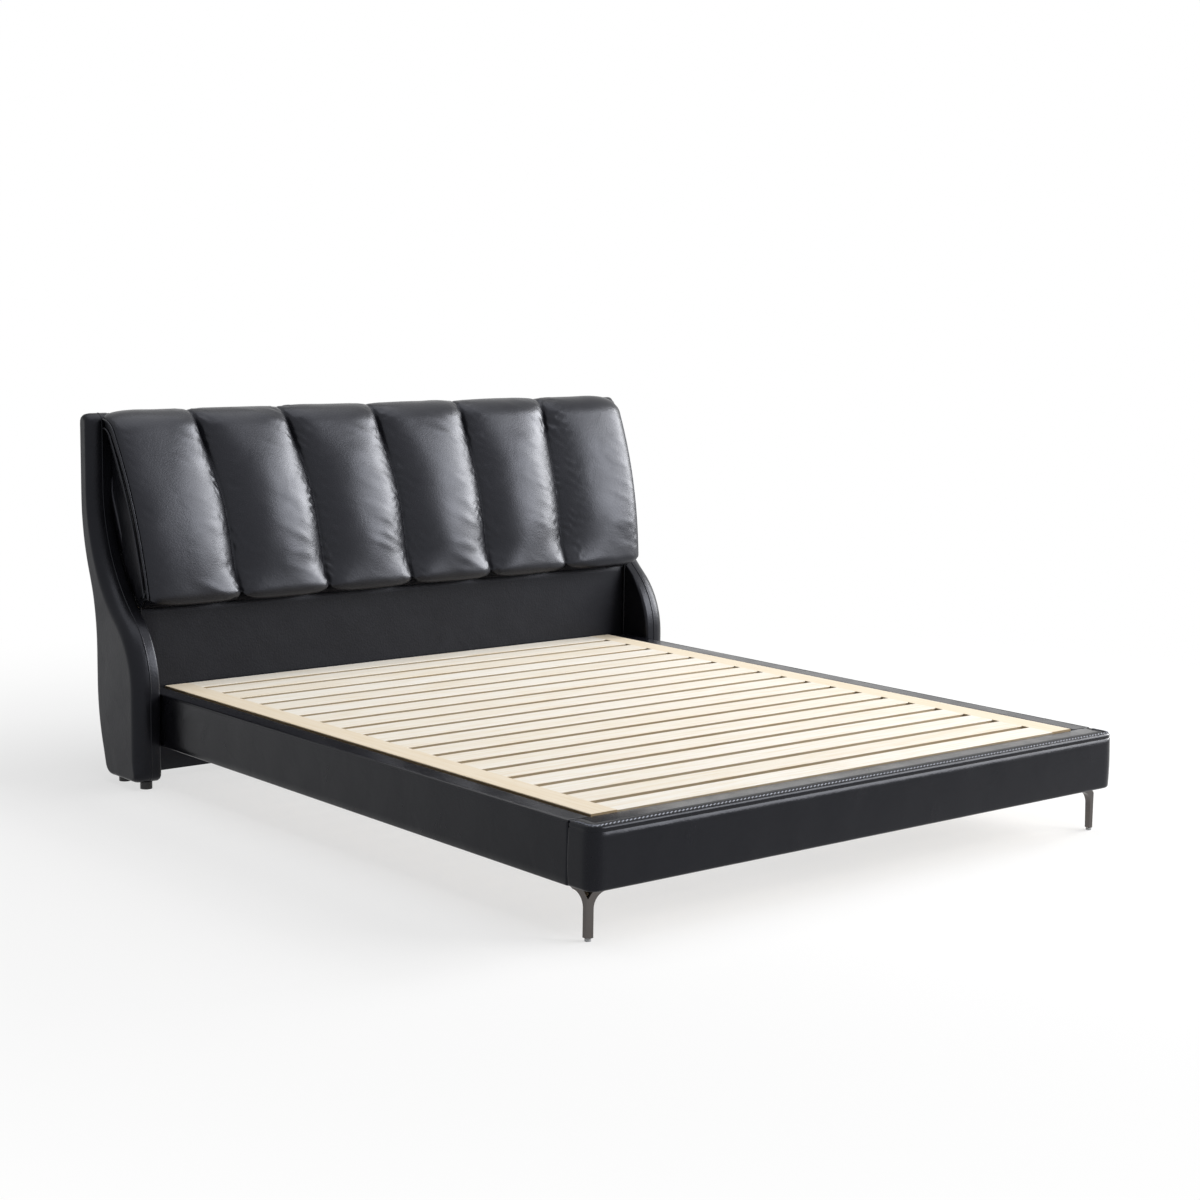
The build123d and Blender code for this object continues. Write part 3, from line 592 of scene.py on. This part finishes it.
class BED_OT_headboard_pad(bpy.types.Operator):
    """Makes the channelled leather pad, swells it between its seams and welts its ends"""

    bl_idname = "bed.headboard_pad"
    bl_label = "Headboard pad"

    def execute(self, context):
        sizes = context.scene.bed_pad
        front, board = pad_outline(sizes)
        outline = front + board
        normals = [-outward(outline, i, True) for i in range(len(outline))]
        wing_front = wing_outline(context.scene.bed_covers)[1]
        inner_half = wing_low.x
        foot_half = inner_half + sizes.end_lap
        count = len(channels)

        def half_width(z):
            """Half the pad's width at a height."""
            return foot_half + (end_high.x - foot_half) * (z - pad_low.z) / (pad_high.z - pad_low.z)

        def wing_at(z):
            """Where the wing's front lies at a height, or None above the wing."""
            for a, b in zip(wing_front, wing_front[1:]):
                if a.y <= z <= b.y:
                    return a.x + (b.x - a.x) * (z - a.y) / max(b.y - a.y, 1e-6)
            return wing_front[0].x if z < wing_front[0].y else None

        def depth_at(share, outer):
            """Depth of a seam, or of the pad's outer ends, at a share of the way down the front."""
            depth = sizes.end_depth
            if not outer:
                sunk = smooth_step(*SEAMS_SINK, share)
                depth = sizes.top_depth + (sizes.seam_depth - sizes.top_depth) * sunk
                depth += (sizes.lip_depth - depth) * smooth_step(*SEAMS_RISE, share)
            return depth * (1 - smooth_step(*SEAMS_END, share))

        def bulge_at(t, share, outer):
            """Share of the seam's depth across a channel; t is 0 at its crown and 1 at its seam."""
            belly = smooth_step(*BELLY_STARTS, share) * (1 - smooth_step(*BELLY_ENDS, share))
            middle = [a + (b - a) * belly for a, b in zip(ROLL_SECTION, BELLY_SECTION)]
            roundness, sharpness = END_SECTION if outer else middle
            return roundness * t * t + (1 - roundness) * (1 - sqrt(1 - t**sharpness))

        def pad_point(across, row):
            """Point of the pad at a place across it, counted in channels, and a row of its outline."""
            base, normal = outline[row], normals[row]
            number = min(int(across), count - 1)
            t = 2 * (across - number) - 1
            crown = sizes.end_crown if number == count - 1 else 0
            t = (t - crown) / (1 + copysign(crown, crown - t))
            outer = (number == 0 and t < 0) or (number == count - 1 and t > 0)
            half = half_width(base.y)
            share = min(row / (len(front) - 1), 1)
            lean = sizes.seam_lean * sin(pi * min(across / (count - 1), 1) ** 0.7)
            lean *= 1 - smooth_step(*LEAN_ENDS, share)
            point = Vector((half * (2 * across / count - 1) - lean, base.x, base.y))
            if row < len(front):
                inset = depth_at(share, outer) * bulge_at(abs(t), share, outer)
                inset -= sizes.belly_rise * sin(pi * part_way(*BELLY_SPAN, share))
                along = row * sizes.row_pitch
                beside = (1 - abs(t)) * half / count
                fade = max(0, 1 - beside / sizes.pucker_reach) * min(1, beside / sizes.pucker_start)
                fade *= END_GATHERS if outer else 1
                # The seam's and the channel's numbers give each of them folds of its own
                seam = round(across)
                turns = (along - GATHER_SLANT * beside) / sizes.pucker_pitch
                turns += ripple(Vector((seam * 3.1, along, t)), SHIFT_SIZE)
                strength = max(0, 0.25 + ripple(Vector((seam * 1.7, along, 7 + t)), FADE_SIZE, 1.6))
                fold = sizes.pucker_height * fade * sin(2 * pi * turns) * strength
                drawn = PULL_STRETCH * (point.x + PULL_SLANT * along)
                slope = Vector((along - PULL_SLANT * point.x, drawn, number * 0.7))
                pull = max(0, ripple(slope, sizes.pull_width))
                fold += sizes.pull_height * pull * (1 - t * t) * smooth_step(-0.3, 0.5, t)
                fold += ripple(point, UNEVEN_SIZE, sizes.uneven_height) * (1 - t * t)
                point += (fold - inset) * Vector((0, *normal))
            limit = wing_at(point.z - sizes.wing_gap)
            if limit is not None and row >= len(front) and across in (0, count):
                point.y = max(point.y, limit + sizes.end_flap)
            if limit is not None and point.y > limit - sizes.wing_gap and abs(point.x) > inner_half:
                point.x = copysign(inner_half, point.x)
            return point

        # The columns of the mesh crowd towards the seams
        shares = []
        for number in range(count):
            for j in range(sizes.columns):
                u = 2 * j / sizes.columns - 1
                shares.append(number + (u + 0.5 * sin(pi * u) / pi + 1) / 2)
        shares.append(count)
        rows = range(len(outline))
        rings = [[pad_point(across, row) for row in rows] for across in shares]
        pad = make_piece("headboard_pad", skin(rings), leather("pad cowhide"), sharp=radians(80))
        edge_rows = [row for row in rows if row < HELD_TOP or row >= len(front) - HELD_FOOT]
        held = []
        for i, across in enumerate(shares):
            on_seam = abs(across - round(across)) < 1e-6
            near_end = across < HELD_END or across > count - HELD_END
            held += [i * len(rows) + row for row in (rows if on_seam or near_end else edge_rows)]
        swell(pad, held, sizes.swell_limit)
        finer = pad.modifiers.new("finer", "SUBSURF")
        finer.levels = finer.render_levels = 1
        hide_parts(*channels)

        welts = []
        welt_rows = range(6, len(front) - 2)
        for side, across in ((-1, 0), (1, count)):
            edge = [pad_point(across, row) for row in welt_rows]
            proud = Vector((side * 0.0005, 0, 0))
            welts.append(tube([point + proud for point in edge], sizes.welt_radius))
            depths = [sizes.boxing_width * Vector((0, *normals[row])) for row in welt_rows]
            welts.append(tube([point - depth for point, depth in zip(edge, depths)], sizes.welt_radius))
        make_piece("pad_end_welts", merge(welts), leather("pad cowhide"))
        return {"FINISHED"}


def swell(piece, held, limit):
    """Inflates a piece as cloth between its held vertices, keeps the result and drops the simulation."""
    group = piece.vertex_groups.new(name="held")
    group.add(held, 1.0, "REPLACE")
    before = [v.co.copy() for v in piece.data.vertices]
    cloth = piece.modifiers.new("swell", "CLOTH")
    settings = cloth.settings
    settings.quality = 5
    settings.mass = 0.4
    settings.tension_stiffness = 12
    settings.compression_stiffness = 12
    settings.shear_stiffness = 5
    settings.bending_stiffness = 1.5
    settings.use_pressure = True
    settings.uniform_pressure_force = 2.5
    settings.shrink_min = -0.035
    settings.vertex_group_mass = group.name
    settings.effector_weights.gravity = 0
    cloth.collision_settings.use_collision = False
    scene = bpy.context.scene
    for step in range(1, SWELL_FRAMES + 1):
        scene.frame_set(step)
    swollen = piece.evaluated_get(bpy.context.evaluated_depsgraph_get()).to_mesh()
    after = [v.co.copy() for v in swollen.vertices]
    piece.modifiers.remove(cloth)
    scene.frame_set(1)
    moves = [end - start for start, end in zip(before, after)]
    links = [[] for _ in moves]
    for edge in piece.data.edges:
        a, b = edge.vertices
        links[a].append(b)
        links[b].append(a)
    still = set(held)
    for _ in range(SMOOTHING_ROUNDS):
        moves = [
            move if i in still else sum((moves[k] for k in links[i]), move) / (len(links[i]) + 1)
            for i, move in enumerate(moves)
        ]
    for vertex, start, move in zip(piece.data.vertices, before, moves):
        vertex.co = start + move * (limit / max(move.length, limit))
    piece.vertex_groups.remove(group)


class BED_OT_wings(bpy.types.Operator):
    """Makes the two leather wings with soft outer fronts and welted seams, and their linings"""

    bl_idname = "bed.wings"
    bl_label = "Wings"

    def execute(self, context):
        sizes = context.scene.bed_covers
        outline = wing_outline(sizes)[0]
        outline = resample(outline + outline[:1], WING_PITCH)[:-1]
        normals = [outward(outline, i, True) for i in range(len(outline))]
        thickness = wing_high.x - wing_low.x + sizes.wing_stuffing
        inner, welt = sizes.inner_edge, sizes.wing_welt

        def outer_edge(run, depth):
            """A rounding of a run and a depth, then two rows on the outer face."""
            edge = [(thickness - run * (1 - sin(a)), depth * (1 - cos(a))) for a in quarter(10)]
            return edge + [(thickness, depth + row) for row in OUTER_ROWS]

        # Places across the wing and depths below its outline, from the inner face to the outer one
        section = [(0.0, inner + row) for row in INNER_ROWS]
        section += [(inner * (1 - sin(a)), inner * (1 - cos(a))) for a in reversed(quarter(6))]
        bumps = [pi * i / 8 for i in range(9)]
        section += [(sizes.wing_seam - 1.4 * welt * cos(a), -welt * sin(a)) for a in bumps]
        rear = outer_edge(sizes.wing_edge, sizes.wing_edge)
        fore = outer_edge(sizes.soft_run, sizes.soft_depth)
        spans = [(spot, spot) for spot in section] + list(zip(rear, fore))
        deepest = fore[-1][1]
        reaches, rim = [], []
        for point, normal in zip(outline, normals):
            width = min((p - point).length for p, n in zip(outline, normals) if n.dot(normal) < -0.7)
            reach = min(1 - TOP_EASE * smooth_step(*TOP_HEIGHTS, point.y), WIDTH_SHARE * width / deepest)
            reaches.append(reach - FOOT_EASE * (1 - smooth_step(*FOOT_HEIGHTS, point.y)))
            above = point.y - panel_high.z
            if above > 0:
                behind_pad = smooth_step(*LAP_STARTS, above) * (1 - smooth_step(*LAP_ENDS, above))
                ahead = smooth_step(*LAP_FACING, -normal.x) * behind_pad
                rim.append(point + normal * (sizes.lining_lap * ahead - 0.001))
        lining = plain_material("black inner lining", context.scene.bed_finishes.lining, 0.85, 1.5, 0.5)
        for side, hand in SIDES:
            rings = []
            for behind, before in spans:
                ring = []
                for point, normal, reach in zip(outline, normals, reaches):
                    across, inset = Vector(behind).lerp(before, smooth_step(*SOFT_FACING, -normal.x))
                    place = point - normal * inset * reach
                    ring.append(Vector((side * (wing_low.x + across), *place)))
                rings.append(ring)
            wing = make_piece(f"wing_leather_{hand}", skin(rings), leather("wing cowhide"))
            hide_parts(f"wing_cover_{hand}")
            sheet = [[Vector((side * (wing_low.x - gap), *p)) for p in rim] for gap in LINING_GAPS]
            make_piece(f"wing_lining_{hand}", skin(sheet), lining)
        return {"FINISHED"}


class BED_OT_lower_panel(bpy.types.Operator):
    """Makes the leather panel below the pad, with piping where it meets the wings"""

    bl_idname = "bed.lower_panel"
    bl_label = "Lower panel"

    def execute(self, context):
        sizes = context.scene.bed_covers
        half, top, bottom = panel_high.x, panel_high.z, panel_low.z
        columns, rows = 60, 24
        edge_width, edge_depth = 0.012, 0.7 * (panel_high.y - panel_low.y)
        front = panel_low.y + 0.002  # leaves room for the waves
        heights = [top - drop for drop in PANEL_ROWS]
        heights += [top + (bottom - top) * j / rows for j in range(1, rows + 1)]
        rings = []
        for i in range(columns + 1):
            x = half * (2 * i / columns - 1)
            ring = [Vector((x, panel_high.y, bottom)), Vector((x, panel_high.y, top))]
            for z in heights:
                nearest = min(3 * (top - z), z - bottom, half - abs(x))
                fall = edge_depth * max(0, 1 - nearest / edge_width) ** 2
                bulge = ripple(Vector((x, 0, z)), *PANEL_WAVES)
                ring.append(Vector((x, front + fall + bulge, z)))
            rings.append(ring)
        panel = make_piece("lower_panel_leather", skin(rings), leather("panel cowhide"))
        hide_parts("lower_panel_cover")
        cords = []
        rise = top - rail_high.z
        for side in (-1, 1):
            x = side * (wing_low.x - sizes.piping_radius)
            run = [Vector((x, panel_low.y, rail_high.z + rise * i / 20)) for i in range(21)]
            cords.append(tube(run, sizes.piping_radius))
        make_piece("panel_piping", merge(cords), leather("cover cowhide"))
        return {"FINISHED"}


class BED_OT_side_rails(bpy.types.Operator):
    """Makes the side rails' leather, folded over the top and piped along the outer edge"""

    bl_idname = "bed.side_rails"
    bl_label = "Side rails"

    def execute(self, context):
        sizes = context.scene.bed_covers
        edge = sizes.rail_edge
        inner, outer, bottom, top = rail_low.x, rail_high.x, rail_low.z, rail_high.z
        hem = 0.003
        rise, width = top - edge - bottom - hem, outer - inner - 2 * edge
        bends = quarter(6)[1:]
        section = [(core_high.x, bottom), (outer - hem, bottom), (outer, bottom + hem)]
        section += [(outer, bottom + hem + rise * i / 8) for i in range(1, 9)]
        section += [(outer - edge * (1 - cos(a)), top - edge * (1 - sin(a))) for a in bends]
        section += [(outer - edge - width * i / 6, top) for i in range(1, 7)]
        section += [(inner + edge * (1 - sin(a)), top - edge * (1 - cos(a))) for a in bends]
        section += [(inner, core_high.z), (core_high.x, core_high.z)]
        steps = 120
        stations = [rail_low.y + (rail_high.y - rail_low.y) * i / steps for i in range(steps + 1)]
        piping_inset = 0.3 * edge
        for side, hand in SIDES:
            rings = []
            for y in stations[:1] + [rail_low.y + d for d in FOLD_ROWS] + stations[1:]:
                tuck = tuck_at(y - rail_low.y, sizes.end_fold)
                ring = []
                for x, z in section:
                    beside, above = x > core_high.x, z > core_high.z
                    puff = ripple(Vector((side * x, y, z)), *RAIL_WAVES) if beside or above else 0
                    ring.append(Vector((side * (x + puff - tuck * beside), y, z + puff / 2 - tuck * above)))
                rings.append(ring)
            rail = make_piece(f"rail_leather_{hand}", skin(rings), leather("cover cowhide"))
            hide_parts(f"rail_cover_{hand}")
            run = [Vector((side * (outer - piping_inset), y, top - piping_inset)) for y in stations]
            make_piece(f"rail_piping_{hand}", tube(run, sizes.piping_radius), leather("cover cowhide"))
        return {"FINISHED"}


class BED_OT_foot_rail(bpy.types.Operator):
    """Makes the foot rail's leather with a beaded top edge and its saddle stitches"""

    bl_idname = "bed.foot_rail"
    bl_label = "Foot rail"

    def execute(self, context):
        sizes = context.scene.bed_covers
        half, front, back = foot_high.x, foot_low.y, foot_high.y
        bottom, top = foot_low.z, foot_high.z
        corner = sizes.foot_corner
        path = [Vector((-half, back)), Vector((-half, front + corner))]
        run_arc(path, -pi / 2, corner, pi / 2, 10)
        path.append(Vector((half - corner, front)))
        run_arc(path, 0, corner, pi / 2, 10)
        path.append(Vector((half, back)))
        path = resample(path, FOOT_PITCH)
        near = [Vector((0, -d)) for d in FOLD_ROWS]
        path[1:1] = [path[0] + d for d in near]
        path[-1:-1] = [path[-1] + d for d in reversed(near)]
        inwards = [outward(path, i, False) for i in range(len(path))]

        # Depths behind the path and heights: under the rail, up its face, over the bead and along the top
        hem, face_crown, under_depth, top_depth = 0.008, 0.0018, 0.030, 0.034
        bead = sizes.bead_radius
        bead_inset, bead_height = bead + 0.001, top - bead - 0.003
        face_top = bead_height - bead * 0.75
        rise = face_top - bottom - hem
        section = [(under_depth, bottom), (hem, bottom)]
        section += [(hem * (1 - sin(a)), bottom + hem * (1 - cos(a))) for a in quarter(4)[1:]]
        section += [(-face_crown * sin(pi * i / 8), bottom + hem + rise * i / 8) for i in range(1, 9)]
        section += [(0.0022, face_top + 0.0018)]
        turns = [-0.5 + 2.3 * i / 9 for i in range(10)]
        section += [(bead_inset - bead * cos(a), bead_height + bead * sin(a)) for a in turns]
        section += [(bead_inset + bead * 0.9, top - 0.0065), (bead_inset + bead * 1.5, top - 0.003)]
        section += [(top_depth, top - 0.0025)]

        def place(inset, height, i):
            """Point of the leather at a depth and a height of the section and a step along the path."""
            tuck = tuck_at(back - path[i].y, sizes.end_fold)
            point = path[i] + inwards[i] * (inset + tuck)
            puff = ripple(Vector((*path[i], height)), *FOOT_WAVES)
            return Vector((point.x, point.y - puff, height - tuck * (height > bead_height)))

        count = len(path)
        rings = [[place(inset, height, i) for i in range(count)] for inset, height in section]
        vertices, faces = skin(rings, solid=False)
        starts = range(0, len(vertices), count)
        faces.append(tuple(range(starts[-1], len(vertices))))
        faces.append((*starts, *[start + count - 1 for start in reversed(starts)]))
        cover = make_piece("foot_rail_leather", (vertices, faces), leather("cover cowhide"))
        rim = set(cover.data.polygons[len(faces) - 2].edge_keys)
        for edge in cover.data.edges:
            edge.use_edge_sharp = edge.use_edge_sharp or edge.key in rim
        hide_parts("foot_rail_cover")

        stitches = []
        run = resample(path, sizes.stitch_pitch)
        lay = bead + 0.3 * sizes.stitch_radius  # the thread sinks into the leather
        bends, first_turn, turn_step = 4, radians(64), radians(10)
        for i in range(2, len(run) - 2):
            along = (run[i + 1] - run[i - 1]).normalized()
            inward = Vector((-along.y, along.x))
            loop = []
            for k in range(bends + 1):
                turn = first_turn + turn_step * k
                spot = run[i] + inward * (bead_inset - lay * cos(turn))
                spot += along * sizes.stitch_length * (k / bends - 0.5)
                loop.append(Vector((spot.x, spot.y, bead_height + lay * sin(turn))))
            stitches.append(tube(loop, sizes.stitch_radius, 6))
        thread = plain_material("waxed thread", context.scene.bed_finishes.thread, 0.7, 1.0, 0.3)
        make_piece("foot_rail_stitches", merge(stitches), thread)
        return {"FINISHED"}


class BED_OT_timber(bpy.types.Operator):
    """Finishes the slatted base, the cores and the boards"""

    bl_idname = "bed.timber"
    bl_label = "Timber"

    def execute(self, context):
        finishes = context.scene.bed_finishes
        pine, stile, ring, ply = finishes.pine, finishes.pine_stile, finishes.pine_ring, finishes.plywood
        nodes = list(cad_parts)
        slats = [n for n in nodes if n.startswith("slat_") and "stile" not in n]
        # edge=0.9 paints shade onto the side faces of the slats and the stiles
        dress(slats, timber_material("planed pine, slats", pine, ring, "X", edge=0.9))
        stiles = [n for n in nodes if "stile" in n]
        dress(stiles, timber_material("planed pine, stiles", stile, ring, "Y", edge=0.9))
        lengthwise = [n for n in nodes if n.startswith(("ledger", "rail_core"))]
        dress(lengthwise, timber_material("sawn softwood, lengthwise", ring, ply, "Y", 12))
        crosswise = ["foot_rail_core", "headboard_stretchers"]
        dress(crosswise, timber_material("sawn softwood, crosswise", ring, ply, "X", 12))
        boards = [n for n in nodes if n.startswith("wing_core")]
        boards += ["headboard_ribs", "lower_panel_board", "pad_board"]
        dress(boards, timber_material("birch plywood", ring, ply, "Z", 25, 0.4))
        cloth = plain_material("black lining cloth", finishes.lining, 0.85, 1.5, 0.5)
        dress(["headboard_back_panel"], cloth)
        return {"FINISHED"}


class BED_OT_metal(bpy.types.Operator):
    """Finishes the legs, the centre support, the fasteners and the plastic feet"""

    bl_idname = "bed.metal"
    bl_label = "Legs and fittings"

    def execute(self, context):
        finishes = context.scene.bed_finishes
        dress(["leg_left", "leg_right"], metal_material("black-nickel plate", finishes.gunmetal, 0.2, 2))
        zinc = metal_material("bright zinc plate", finishes.zinc, 0.35, 4)
        dress(["corner_brackets", "bracket_bolts", "wing_bolts", "leg_screws"], zinc)
        powder = plain_material("black powder coat", finishes.black_coat, 0.5, 1.2, 0.25)
        dress(["centre_beam", "centre_legs", "beam_hangers"], powder)
        dress(["wing_feet"], plain_material("moulded polypropylene", finishes.plastic, 0.5, 0.8))
        dress(["leg_glides"], plain_material("milky nylon", finishes.nylon, 0.35, 1, 0.05, 0.35))
        return {"FINISHED"}


class BED_OT_stage(bpy.types.Operator):
    """Sets the floor, the lamps, the room and the camera"""

    bl_idname = "bed.stage"
    bl_label = "Stage"

    def execute(self, context):
        scene = context.scene
        stage = scene.bed_stage
        scene.view_settings.view_transform = "Standard"

        paper, tree, place = new_material("seamless paper")
        distance = add_node(tree, "VectorMath", {0: place}, operation="LENGTH")["Value"]
        reaches = {"Value": distance, "From Min": stage.glow_start, "From Max": stage.glow_end}
        glows = {"To Min": stage.paper_glow, "To Max": 1.0}
        paleness = add_node(tree, "MapRange", reaches | glows, interpolation_type="SMOOTHSTEP")
        share = add_node(tree, "Math", {0: shown(tree), 1: paleness[0]}, operation="MULTIPLY")
        matt = add_node(tree, "BsdfDiffuse", {"Color": rgba(stage.floor)})
        glow = add_node(tree, "Emission", {"Color": WHITE, "Strength": 1.0})
        mixed = add_node(tree, "MixShader", {0: share[0], 1: matt[0], 2: glow[0]})
        add_node(tree, "OutputMaterial", {"Surface": mixed[0]})
        mesh = bpy.data.meshes.new("floor")
        reach = stage.floor_reach
        corners = [(-reach, -reach, 0), (reach, -reach, 0), (reach, reach, 0), (-reach, reach, 0)]
        mesh.from_pydata(corners, [], [(0, 1, 2, 3)])
        mesh.materials.append(paper)
        floor = add_object("floor", mesh)

        world = bpy.data.worlds.new("white room")
        world.use_nodes = True
        tree = world.node_tree
        tree.nodes.clear()
        strengths = {"Value": shown(tree), "To Min": stage.world_light, "To Max": 1.0}
        strength = add_node(tree, "MapRange", strengths)
        sky = add_node(tree, "Background", {"Color": WHITE, "Strength": strength[0]})
        add_node(tree, "OutputWorld", {"Surface": sky[0]})
        scene.world = world

        # Name, place, aim, width and height in metres, and watts
        lamps = (
            ("side_box", (10.5, -1.5, 4.2), (0.0, 0.8, 0.8), (4.3, 5.1), stage.side_lamp),
            ("front_box", (7.1, -6.1, 4.8), (0.0, 0.8, 0.8), (6.25, 5.0), stage.front_lamp),
            ("ceiling_box", (0.0, 0.2, 4.5), (0.0, 0.2, 0.0), (4.0, 4.0), stage.ceiling_lamp),
        )
        for name, place, aim, (width, height), watts in lamps:
            light = bpy.data.lights.new(name, "AREA")
            light.shape = "RECTANGLE"
            light.size, light.size_y, light.energy = width, height, watts
            lamp = add_object(name, light)
            lamp.location = place
            lamp.rotation_euler = (Vector(aim) - Vector(place)).to_track_quat("-Z", "Y").to_euler()

        heading, dip, roll = stage.camera_heading, stage.camera_dip, stage.camera_roll
        ahead = Vector((sin(heading) * cos(dip), cos(heading) * cos(dip), -sin(dip)))
        level = Vector((cos(heading), -sin(heading), 0))
        upright = level.cross(ahead)
        right = cos(roll) * level + sin(roll) * upright
        up = -sin(roll) * level + cos(roll) * upright
        data = bpy.data.cameras.new("camera")
        data.lens, data.sensor_width, data.shift_x = stage.lens, 36, stage.camera_shift
        scene.camera = add_object("camera", data)
        turned = Matrix((right, up, -ahead)).transposed().to_4x4()
        scene.camera.matrix_world = Matrix.Translation(stage.camera_place) @ turned
        return {"FINISHED"}


class BED_PT_sidebar(bpy.types.Panel):
    """Lists the bed's steps and sizes"""

    bl_idname = "BED_PT_sidebar"
    bl_label = "Winged leather bed"
    bl_space_type = "VIEW_3D"
    bl_region_type = "UI"
    bl_category = "Bed"

    def draw(self, context):
        for operator in OPERATORS:
            self.layout.operator(operator.bl_idname)
        for name, group in GROUPS.items():
            box = self.layout.box()
            box.label(text=group.__doc__)
            for key in group.__annotations__:
                box.prop(getattr(context.scene, name), key)


GROUPS = {
    "bed_pad": BedPadSizes,
    "bed_covers": BedCoverSizes,
    "bed_finishes": BedFinishes,
    "bed_stage": BedStage,
}
OPERATORS = (
    BED_OT_headboard_pad,
    BED_OT_wings,
    BED_OT_lower_panel,
    BED_OT_side_rails,
    BED_OT_foot_rail,
    BED_OT_timber,
    BED_OT_metal,
    BED_OT_stage,
)


def register():
    for kind in (*GROUPS.values(), *OPERATORS, BED_PT_sidebar):
        bpy.utils.register_class(kind)
    for name, group in GROUPS.items():
        setattr(bpy.types.Scene, name, bpy.props.PointerProperty(type=group))


def unregister():
    for name in GROUPS:
        delattr(bpy.types.Scene, name)
    for kind in reversed((*GROUPS.values(), *OPERATORS, BED_PT_sidebar)):
        bpy.utils.unregister_class(kind)


def main():
    register()
    for operator in OPERATORS:
        group, step = operator.bl_idname.split(".")
        getattr(getattr(bpy.ops, group), step)()


if __name__ == "__main__":
    main()
